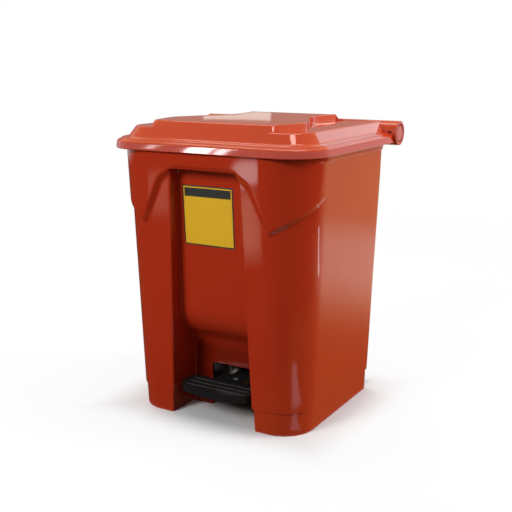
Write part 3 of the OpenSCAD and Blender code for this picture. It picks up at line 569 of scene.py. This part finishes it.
# Mesh steps across the body, from the middle of the recess round to the groove, and the heights of its rows
bodyCount = {"slot": 8, "panel": 7, "corner": 5, "wall": 8, "edge": 6, "front": 26, "turn": 54, "side": 24,
             "rearTurn": 12, "rear": 14, "groove": 5, "scoop": 14, "footBend": 8}
bodyRows = spread(0, 39, 4) + [40.6, 41.5, 42.0, 42.4, 42.8, 43.3, 44.2, 50, 60, 70, 78, 86, 92, 96]
for low, high, count in ((96, 206, 22), (206, 326, 14), (326, 445, 60), (445, bodySet["archZ"], 10)):
    bodyRows += spread(low, high, count)[1:]
hoodRows = spread(bodySet["archZ"], bodySet["blendZ"], 8)
hoodRows += [481.1, 481.6, 482.0, 482.4, 482.9, 484, 489, 494, 499, 504]


def wallHalf(z):
    return bodySet["baseHalf"] + z * tanDeg(bodySet["sideDraft"])


def legY(z):
    return bodySet["frontY"] - z * tanDeg(bodySet["frontDraft"])


def cornerR(z):
    return bodySet["frontR"] + z * bodySet["cornerTaper"]


def bandShare(z):
    return softStep((bodySet["bandTop"] - z) / bodySet["stepRun"] + 0.5)


def lipOut(z):
    return bodySet["lipOut"] * softStep((z - bodySet["lipLow"]) / bodySet["stepRun"] + 0.5)


def recessHalf(z):
    return bodySet["recessHalf"] - z * tanDeg(bodySet["recessDraft"]) + bodySet["bandInset"] * bandShare(z)


pointR = cornerR(hoodSet["point"][1])
pointTurn = math.degrees(math.asin((hoodSet["point"][0] - wallHalf(hoodSet["point"][1]) + pointR) / pointR))


def edgeLine(start, end):
    run = Vector(end) - Vector(start)
    run.normalize()
    return Vector(start), Vector((run.y, -run.x))


archLine = edgeLine(hoodSet["archEnd"], hoodSet["shoulder"])
sideLine = edgeLine(hoodSet["shoulder"], hoodSet["point"])


def hoodRise(x, z, turn):
    # The raised hood: its full rise, cut by the soft slopes of its inner and outer edges
    s = hoodSet
    full = s["out"] - s["fade"] * (bodySet["height"] - z)
    full *= math.cos(math.radians(max(turn, 0.0)))
    place = Vector((x, z))
    inner, beside = [-(place - start).dot(normal) for start, normal in (archLine, sideLine)]
    for other in (beside, z - s["archEnd"][1] - s["archBand"]):
        inner = softMax(inner, other, s["bend"])
    inner = s["edgeDepth"] + inner / s["innerRun"]
    outer = (z - s["point"][1] - (turn - pointTurn) * s["climb"]) / s["outerRun"]
    rise = softMin(full, softMin(inner, outer, s["soft"]), s["soft"])
    return softMax(rise, 0.0, s["footSoft"])


def wallOut(x, z, turn):
    # How far the wall stands out of its plain taper: base band, hood and lip
    out = -bodySet["bandInset"] * bandShare(z)
    if z > hoodSet["lowZ"]:
        out += softMax(hoodRise(x, z, turn), lipOut(z), bodySet["lipSoft"])
    return out


def panelProfile():
    # Section of the recess panel: its lean, the round of the scoop and the bend into the foot wall
    s = bodySet
    r, footY = s["scoopR"], s["footY"]
    kneeY = s["panelTopY"] + (s["archZ"] - s["kneeZ"]) * tanDeg(s["panelLean"])
    up, back = sinCos(s["panelLean"])
    line = [(s["panelTopY"], s["archZ"]), (kneeY, s["kneeZ"])]
    for turn in spread(180 + s["panelLean"], s["scoopEnd"], bodyCount["scoop"])[1:]:
        rise, run = sinCos(turn)
        line.append((kneeY + r * (back + run), s["kneeZ"] + r * (up + rise)))
    start = line[-1]
    end = (footY, start[1] - (footY - start[0]) * s["footSlope"] - s["footDrop"])
    middle = [end[i] + s["footBend"][i] for i in (0, 1)]
    for t in spread(0, 1, bodyCount["footBend"])[1:]:
        line.append(tuple((1 - t) ** 2 * start[i] + 2 * t * (1 - t) * middle[i] + t * t * end[i] for i in (0, 1)))
    line.append((footY, 0.0))
    return sorted((z, y) for y, z in line)


panelZs, panelYs = zip(*panelProfile())


def panelY(z):
    return float(np.interp(z, panelZs, panelYs))


def edgeTaper(distance):
    return softStep(distance / bodySet["taperRun"])


def panelColumns(z):
    # Half of the recess panel, with the round of its inner corner
    half, deep = recessHalf(z), panelY(z)
    r = bodySet["cornerRound"] * edgeTaper(bodySet["archZ"] - z)
    xs = spread(0, bodySet["slotHalf"], bodyCount["slot"])
    xs += spread(bodySet["slotHalf"], half - r, bodyCount["panel"])[1:]
    points = [(x, deep) for x in xs]
    for turn in spread(0, 90, bodyCount["corner"])[1:]:
        s, c = sinCos(turn)
        points.append((half - r + r * s, deep - r + r * c))
    return points


def legFront(x, z):
    bend = wallHalf(z) - cornerR(z)
    return legY(z) - wallOut(x, z, math.degrees((x - bend) / cornerR(z)))


def recessWall(z):
    # From the inner corner forward to the leg, then round the edge of the leg
    half, deep = recessHalf(z), panelY(z)
    taper = edgeTaper(bodySet["archZ"] - z)
    inner, r = bodySet["cornerRound"] * taper, bodySet["edgeRound"] * taper
    points = [(half, y) for y in spread(deep - inner, legFront(half, z) + r, bodyCount["wall"])[1:]]
    for turn in spread(0, 90, bodyCount["edge"])[1:]:
        s, c = sinCos(turn)
        x = half + r - r * c
        points.append((x, legFront(x, z) + r - r * s))
    return points


def outerColumns(z, edge):
    # The outside from the front of the leg to the middle of the groove at the rear
    half, front, r, count = wallHalf(z), legY(z), cornerR(z), bodyCount
    rearY, rearR, grooveHalf = bodySet["rearY"], bodySet["rearR"], bodySet["grooveHalf"]
    out = -bodySet["bandInset"] * bandShare(z) + lipOut(z)
    rearOut = min(out, 0)  # the lip ends at the rear
    bend = half - r
    points = [(x, legFront(x, z)) for x in spread(edge, bend, count["front"])]
    for turn in spread(0, 90, count["turn"])[1:]:
        s, c = sinCos(turn)
        reach = r + wallOut(bend + r * s, z, turn)
        points.append((bend + reach * s, front + r - reach * c))
    points += [(half + out, y) for y in spread(front + r, rearY - rearR, count["side"])[1:]]
    for turn in spread(0, 90, count["rearTurn"])[1:]:
        s, c = sinCos(turn)
        points.append((half - rearR + (rearR + out) * c, rearY - rearR + (rearR + rearOut) * s))
    points += [(x, rearY + rearOut) for x in spread(half - rearR, grooveHalf, count["rear"])[1:]]
    points += [(grooveHalf, y) for y in spread(rearY + rearOut, bodySet["grooveY"], count["groove"])[1:]]
    return points + [(x, bodySet["grooveY"]) for x in spread(grooveHalf, 0, count["groove"])[1:]]


def bodyOutline(z):
    wall = recessWall(z)
    return panelColumns(z) + wall + outerColumns(z, wall[-1][0])[1:]


def makeBody():
    arch, blend = bodySet["archZ"], bodySet["blendZ"]
    points = [(x, y, z) for z in bodyRows for x, y in bodyOutline(z)]
    columns = len(points) // len(bodyRows)
    firstInGroove = columns - 2 * bodyCount["groove"] - 1
    faces = []
    for face in gridFaces(len(bodyRows), columns):
        across, top = [i % columns for i in face], max(points[i][2] for i in face)
        inSlot = max(across) <= bodyCount["slot"] and top <= bodySet["slotTop"] + 0.01
        inGroove = min(across) >= firstInGroove and top <= bodySet["floorLow"]
        if not inSlot and not inGroove:
            faces.append(face)
    # The hood over the arch, its lower edge turned in to the ceiling of the recess
    xs = [x for x, y in panelColumns(arch)[:bodyCount["slot"] + bodyCount["panel"] + 1]]
    turns = [bodySet["edgeRound"] * edgeTaper(recessHalf(arch) - x) for x in xs]
    start = len(points)
    for z in hoodRows:
        for x, r in zip(xs[:-1], turns):
            scaled = x * recessHalf(z) / recessHalf(arch)
            lifted = z + r * max(0.0, blend - z) / (blend - arch)
            points.append((scaled, legFront(scaled, lifted), lifted))
        points += [(x, y, z) for x, y in outerColumns(z, recessHalf(z))]
    faces += gridFaces(len(hoodRows), (len(points) - start) // len(hoodRows), start)
    start = len(points)
    deep = panelY(arch)
    for share in spread(0, 1, bodyCount["wall"]):
        points += [(x, deep + (legFront(x, arch + r) + r - deep) * share, arch) for x, r in zip(xs, turns)]
    for turn in spread(0, 90, bodyCount["edge"])[1:]:
        s, c = sinCos(turn)
        points += [(x, legFront(x, arch + r) + r - r * s, arch + r - r * c) for x, r in zip(xs, turns)]
    faces += gridFaces((len(points) - start) // len(xs), len(xs), start)
    piece = meshPiece("bodySkin", points, faces, "bin", ["body_shell"])
    wholeSkin(piece, shellRed, bodySet["wall"], True)


def makeTubFloor():
    # A plate let half into the walls, with the recess and the groove cut out of its outline
    line = bodyOutline(bodySet["floorTop"])
    sink = bodySet["wall"] / 2
    first, last = (-line[1][0], line[1][1]), (-line[-2][0], line[-2][1])
    right = []
    for before, here, after in zip([first] + line, line, line[1:] + [last]):
        run = Vector(after) - Vector(before)
        run.normalize()
        right.append((max(here[0] - run.y * sink, 0.0), here[1] + run.x * sink))
    ring = right + [(-x, y) for x, y in reversed(right[1:-1])]
    points = [(x, y, z) for z in (bodySet["floorLow"], bodySet["floorTop"]) for x, y in ring]
    crispSkin(meshPiece("tubFloor", points, prismFaces(len(ring)), "bin"), shellRed)


makeBody()
makeTubFloor()
print("stage: body made")


# Lid: one skin from the rim over the ledge and the slope to the two levels; its rear ends in the hinge

lidSet = {
    "half": 211.0, "frontY": -196.0, "rimTop": 507.5, "rimR": 72.0, "rimShrink": 0.7,
    "rim": ((0.8, 492.5), (0.0, 493.3), (1.9, 505.2), (4.0, 507.4)), "rimRearY": 161.5, "rearRise": (505, 514, 9),
    "ledge": 21.0, "edgeR": 4.0, "footZ": 513.0, "level1": 531.0, "level2": 543.5, "slopeRun": 0.68, "panelRun": 0.3,
    "frontHalf": 123.5, "wideHalf": 141.0, "waistHalf": 79.0, "neckFlare": 8.0, "flare": 70.0, "side": 94.0,
    "neck": 214.0, "panelRounds": (16.0, 24.0, 30.0, 26.0), "bead": ((8.0, 0.0), (8.7, 1.5), (12.0, 1.5), (13.0, 0.0)),
    "crown": 0.9, "crownY": -10.0, "crownRings": (0.93, 0.82, 0.68, 0.52, 0.34, 0.16), "skin": 3.6,
    "rounds": (0.6, 2.0, 1.4, 0.3, 0.6, 0.6, 0.3, 2.4, 3.0, 1.2, 2.6), "gapY": 148.5, "gapHalf": 107.0,
    "hingeY": 173.0, "hingeZ": 509.4, "barrelR": 23.0, "boreR": 17.05, "barrelEnd": 215.0, "barrelRound": 1.2,
}
lidCount = {"front": 16, "corner": 24, "side": 48, "barrel": 6, "gap": 12}
panelShare = {"front": (0, 0.32), "corner": (0.32, 0.5), "side": (0.5, 1)}  # along the edge of the second level


def lidRing(column, inset, rearY):
    kind, t = column
    half, front = lidSet["half"] - inset, lidSet["frontY"] + inset
    r = lidSet["rimR"] - lidSet["rimShrink"] * inset
    if kind == "front":
        return (half - r) * t, front
    if kind == "corner":
        s, c = sinCos(90 * t)
        return half - r + r * s, front + r - r * c
    return half, front + r + (rearY - front - r) * t


def roundedLine(line, rounds, steps=5, room=0.45):
    # A line of points with each inner corner turned, by no more than its neighbours leave room for
    out = [line[0]]
    for before, here, after, r in zip(line, line[1:], line[2:], rounds):
        ends = []
        for run in (before - here, after - here):
            ends.append(here + run.normalized() * min(r, room * run.length) if run.length > 1e-6 else here)
        for t in spread(0, 1, steps):
            out.append(ends[0] * (1 - t) ** 2 + here * 2 * t * (1 - t) + ends[1] * t * t)
    return out + [line[-1]]


def panelPoint(column, step):
    # The second level: broad in front, a waist, then a neck that opens a little towards the rear edge
    s = lidSet
    front = s["frontY"] + s["ledge"] + (s["level2"] - s["footZ"] - step) * s["slopeRun"]
    out, rear, waist = step * s["panelRun"], s["gapY"], front + s["neck"]
    rearHalf = s["waistHalf"] + (rear - waist) * tanDeg(s["neckFlare"]) + out
    kind, t = column[:2]
    if kind == "rear":
        return rearHalf * t, rear
    outline = [(0, front), (s["frontHalf"] + out, front), (s["wideHalf"] + out, front + s["flare"]),
               (s["wideHalf"] + out, front + s["side"]), (s["waistHalf"] + out, waist), (rearHalf, rear)]
    line = roundedLine([Vector(p) for p in outline], s["panelRounds"], 7)
    run = np.concatenate([[0], np.cumsum([(b - a).length for a, b in zip(line, line[1:])])])
    low, high = panelShare[kind]
    at = run[-1] * (low + (high - low) * t)
    return tuple(float(np.interp(at, run, [p[i] for p in line])) for i in (0, 1))


def lidColumn(column):
    s = lidSet
    foot, top = panelPoint(column, s["level2"] - s["level1"]), panelPoint(column, 0)
    if column[0] == "rear":
        x, y = column[2]
        line = [(x, y, z) for z in spread(*s["rearRise"]) + [s["level1"]]]
    else:
        rise = (s["footZ"] - s["rimTop"]) / (s["ledge"] - s["edgeR"])
        slopeTop = s["ledge"] + (s["level1"] - s["footZ"]) * s["slopeRun"]
        line = [lidRing(column, inset, s["rimRearY"]) + (z,) for inset, z in s["rim"]]
        levels = [(inset, s["rimTop"] + rise * (inset - s["edgeR"]) + up) for inset, up in s["bead"]]
        levels += [(s["ledge"], s["footZ"]), (slopeTop, s["level1"])]
        line += [lidRing(column, inset, s["hingeY"]) + (z,) for inset, z in levels]
    line += [foot + (s["level1"],), top + (s["level2"] - s["crown"],)]
    inner = [(top[0] * k, s["crownY"] + (top[1] - s["crownY"]) * k, s["level2"] - s["crown"] * k * k)
             for k in s["crownRings"]]
    return roundedLine([Vector(p) for p in line + inner[:1]], s["rounds"]) + [Vector(p) for p in inner[1:]]


def makeLid():
    s = lidSet
    columns = [("front", 0.0)] + [(kind, t) for kind in panelShare for t in spread(0, 1, lidCount[kind])[1:]]
    edge = s["half"] - s["ledge"] - (s["level1"] - s["footZ"]) * s["slopeRun"]
    neckEnd = panelPoint(("side", 1), s["level2"] - s["level1"])[0]
    rearLine = [(x, s["hingeY"]) for x in spread(edge, s["gapHalf"], lidCount["barrel"])]
    rearLine += [(x, s["gapY"]) for x in [s["gapHalf"]] + spread(neckEnd, 0, lidCount["gap"])]
    columns += [("rear", min(1, p[0] / neckEnd), p) for p in rearLine]
    lines = [lidColumn(column) for column in columns]
    count = len(lines[0])
    points = [tuple(p) for line in lines for p in line]
    faces = [face[::-1] for face in gridFaces(len(lines), count)]
    faces.append(tuple(i * count + count - 1 for i in range(len(lines))))  # the middle of the top
    piece = meshPiece("lidSkin", points, faces, "lid", ["lid_shell"])
    wholeSkin(piece, lidRed, s["skin"], False)


makeLid()


# Hinge: a barrel at each end of the lid, and between them the lugs of the body on their webs

lugSet = {"inner": 75.5, "outer": 105.5, "round": 1.0, "gussetZ": 436.5, "turn": 20.0, "sink": 3.0, "bite": 0.3,
          "inset": 0.4, "rootUp": 2.0}
drainSet = {"in": 12.0, "half": 2.5, "r": 1.6, "turn": -8.0, "deep": (-25.0, -16.0)}


def tubeSection(low, high, r, side):
    # Closed section of a tube on the hinge, as (x, radius) points with rounded corners
    outer, inner = lidSet["barrelR"], lidSet["boreR"]
    section = []
    for x, radius, begin in ((high - r, outer - r, 0), (high - r, inner + r, 90),
                             (low + r, inner + r, 180), (low + r, outer - r, 270)):
        for turn in spread(begin, begin + 90, 4):
            s, c = sinCos(turn)
            section.append((x + r * s, radius + r * c))
    return section if side > 0 else [(-x, radius) for x, radius in reversed(section)]


def turnedTube(name, section, body, look, segments=72):
    # The section turned round the hinge axis
    points, faces = [], []
    count = len(section)
    for i in range(segments):
        s, c = sinCos(360 * i / segments)
        points += [(x, lidSet["hingeY"] + r * c, lidSet["hingeZ"] + r * s) for x, r in section]
        for j in range(count):
            k, n = (j + 1) % count, (i + 1) % segments
            faces.append((i * count + j, n * count + j, n * count + k, i * count + k))
    piece = meshPiece(name, points, faces, body)
    crispSkin(piece, look, 40)
    return piece


def cutDrain(piece, side):
    # The oval drain slot through the front of a barrel, cut here so that no cutter stays in the scene
    d = drainSet
    outline = []
    for end, begin in ((1, -90), (-1, 90)):
        for a in spread(begin, begin + 180, 8):
            s, c = sinCos(a)
            outline.append((end * d["half"] + d["r"] * c, d["r"] * s))
    turn = Matrix.Rotation(math.radians(d["turn"]), 3, "X")
    middle = Vector((side * (lidSet["barrelEnd"] - d["in"]), lidSet["hingeY"], lidSet["hingeZ"]))
    points = [(middle + turn @ Vector((u, y, v))) * mm for y in d["deep"] for u, v in outline]
    mesh = bpy.data.meshes.new("drainCutter")
    mesh.from_pydata([tuple(p) for p in points], [], [face[::-1] for face in prismFaces(len(outline))])
    cutter = bpy.data.objects.new("drainCutter", mesh)
    scene.collection.objects.link(cutter)
    cut = addModifier(piece, "BOOLEAN", "drain", operation="DIFFERENCE", solver="EXACT", object=cutter)
    split = piece.modifiers["crispEdges"]
    split.show_viewport = False
    bpy.context.view_layer.update()
    result = bpy.data.meshes.new_from_object(piece.evaluated_get(bpy.context.evaluated_depsgraph_get()))
    split.show_viewport = True
    piece.modifiers.remove(cut)
    piece.data = result
    bpy.data.objects.remove(cutter)
    bpy.data.meshes.remove(mesh)


def makeGusset(name, side):
    # The web that carries a lug, from the rear wall up to both sides of the round
    g, y, z = lugSet, lidSet["hingeY"], lidSet["hingeZ"]
    r, rear = lidSet["barrelR"] - g["bite"], bodySet["rearY"]
    line = [(rear - g["sink"], g["gussetZ"]), (rear, g["gussetZ"])]
    for a in spread(-g["turn"], -180 + g["turn"], 8):
        s, c = sinCos(a)
        line.append((y + r * c, z + r * s))
    line.append((rear - g["sink"], z - lidSet["barrelR"] + g["rootUp"]))
    ends = sorted((side * (g["inner"] + g["inset"]), side * (g["outer"] - g["inset"])))
    points = [(x, y, z) for x in ends for y, z in line]
    crispSkin(meshPiece(name, points, prismFaces(len(line)), "bin"), shellRed, 30)


for side, mark in ((1, "Right"), (-1, "Left")):
    barrel = tubeSection(lidSet["gapHalf"], lidSet["barrelEnd"], lidSet["barrelRound"], side)
    cutDrain(turnedTube("hingeBarrel" + mark, barrel, "lid", lidRed), side)
    lug = tubeSection(lugSet["inner"], lugSet["outer"], lugSet["round"], side)
    turnedTube("hingeLug" + mark, lug, "bin", shellRed)
    makeGusset("lugGusset" + mark, side)

# Four round bosses for the screws of the lid lifter, and four for those of the axle brackets
bossSet = {"r": 6.5, "count": 32, "lifter": {"place": (22.0, 98.0), "step": 9.0, "z": (532.5, 540.6)},
           "bracket": {"place": (46.5, -27.25), "step": 12.0, "z": (83.0, 93.0)}}


def makeBosses(name, body, look):
    boss, count = bossSet[name], bossSet["count"]
    x, y = boss["place"]
    points, faces = [], []
    for sx, sy in ((1, 1), (1, -1), (-1, 1), (-1, -1)):
        faces += prismFaces(count, len(points))
        for z in boss["z"]:
            for i in range(count):
                s, c = sinCos(360 * i / count)
                points.append((sx * x + bossSet["r"] * c, y + sy * boss["step"] + bossSet["r"] * s, z))
    crispSkin(meshPiece(name + "Bosses", points, faces, body), look)


makeBosses("lifter", "lid", lidRed)
makeBosses("bracket", "bin", shellRed)
print("stage: lid made")


# Label on the recess panel: a thin blank sheet with a dark border and a dark head band

labelSet = {"centre": (-8.5, 379.0), "size": (104.5, 108.0), "r": 1.5, "lift": 0.02, "thick": 0.35, "border": 2.4,
            "gap": 2.2, "band": 15.5, "dark": (0.018, 0.022, 0.021, 1)}
labelFinish = {"colour": (0.78, 0.47, 0.016, 1), "deep": (0.72, 0.42, 0.013, 1), "drift": 18.0, "roughness": 0.38,
               "glossDrift": 0.12, "waveScale": 30.0, "wave": 0.6, "grainScale": 1800.0, "grain": 0.2, "bump": 0.15,
               "bumpDepth": 0.0003}


def labelLook():
    look = surfaceLook("labelSheet", labelFinish)
    tree, place = look.node_tree, placeIn(look.node_tree)
    (cx, cz), gap = labelSet["centre"], labelSet["gap"]
    across = awayFrom(tree, place["X"], cx * mm)
    up = mathNode(tree, "SUBTRACT", place["Z"], cz * mm)
    halfW, halfH = [size / 2 - labelSet["border"] for size in labelSet["size"]]
    border = mathNode(tree, "MAXIMUM", mathNode(tree, "GREATER_THAN", across, halfW * mm),
                      mathNode(tree, "GREATER_THAN", mathNode(tree, "ABSOLUTE", up), halfH * mm))
    head = productOf(
        tree,
        mathNode(tree, "GREATER_THAN", up, (halfH - gap - labelSet["band"]) * mm),
        mathNode(tree, "LESS_THAN", up, (halfH - gap) * mm),
        mathNode(tree, "LESS_THAN", across, (halfW - gap) * mm))
    overColour(look, mathNode(tree, "MAXIMUM", border, head), labelSet["dark"])
    return look


def makeLabel():
    (cx, cz), (w, h), r = labelSet["centre"], labelSet["size"], labelSet["r"]
    outline = []
    for sx, sz, begin in ((1, 1, 0), (-1, 1, 90), (-1, -1, 180), (1, -1, 270)):
        for turn in spread(begin, begin + 90, 4):
            s, c = sinCos(turn)
            outline.append((cx + sx * (w / 2 - r) + r * c, cz + sz * (h / 2 - r) + r * s))
    points = [(x, panelY(z) - out, z) for out in (labelSet["lift"], labelSet["thick"]) for x, z in outline]
    faces = [face[::-1] for face in prismFaces(len(outline))]
    crispSkin(meshPiece("blankLabel", points, faces, "bin"), labelLook())


makeLabel()
print("stage: label made")

slotLooks = {"steel": zincSteel, "black_plastic": blackPlastic, "tread_black": treadBlack, "lever_black": leverBlack,
             "nylon": nylonLook, "lid_red": lidRed, "body_red": shellRed}
slotNames = {part["node"]: part["material_slot"] for part in frame["record"]["subparts"]}
for name, node in nodes.items():
    node.data.materials.clear()
    node.data.materials.append(rivetSteel if name == "tread_rivets" else slotLooks[slotNames[name]])
print("stage: solids given their finishes")
